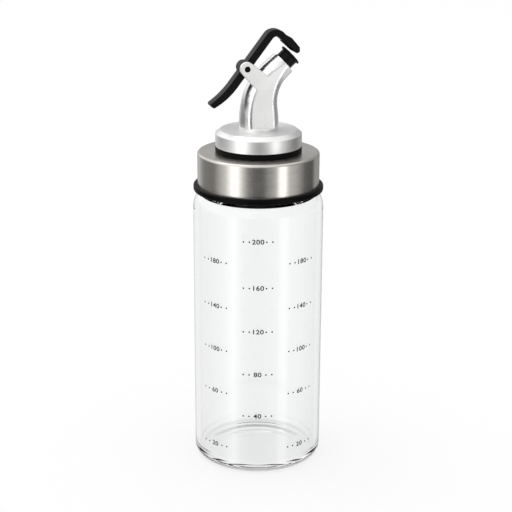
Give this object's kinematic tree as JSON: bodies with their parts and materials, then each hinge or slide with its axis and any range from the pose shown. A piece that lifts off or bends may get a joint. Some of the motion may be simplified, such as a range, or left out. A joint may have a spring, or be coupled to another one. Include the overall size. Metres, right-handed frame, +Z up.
{
  "type": "oil cruet",
  "caption": "Straight glass oil cruet with a steel collar, rubber stopper and bent metal pourer whose black nozzle is covered by a pivoting lever.",
  "frame": {"origin": "centre of the base, on the surface that the cruet stands on", "axes": "+Z up, +X the way the spout points, the lever's pin along Y"},
  "size_m": [0.055, 0.055, 0.1863],
  "materials": {
    "bottle": "clear",
    "collar_liner": "semi-gloss black",
    "collar_shell": "brushed round the collar",
    "stopper": "matte black",
    "pourer_disc": "satin",
    "spout": "satin to bright",
    "nozzle": "satin black",
    "pivot_pin": "black",
    "lever": "satin black",
    "lever_pad": "matte black"
  },
  "bodies": {
    "bottle_body": {"bottle": "bottle", "collar_liner": "collar_liner", "collar_shell": "collar_shell", "stopper": "stopper", "pourer_disc": "pourer_disc", "spout": "spout", "nozzle": "nozzle", "pivot_pin": "pivot_pin"},
    "lever_body": {"lever": "lever", "lever_pad": "lever_pad"}
  },
  "joints": [
    {"name": "lever_hinge", "type": "hinge", "parent": "bottle_body", "child": "lever_body", "pos_m": [-0.00625, 0, 0.17105], "axis": [0, -1, 0], "range_deg": [-6.5, 24]}
  ]
}
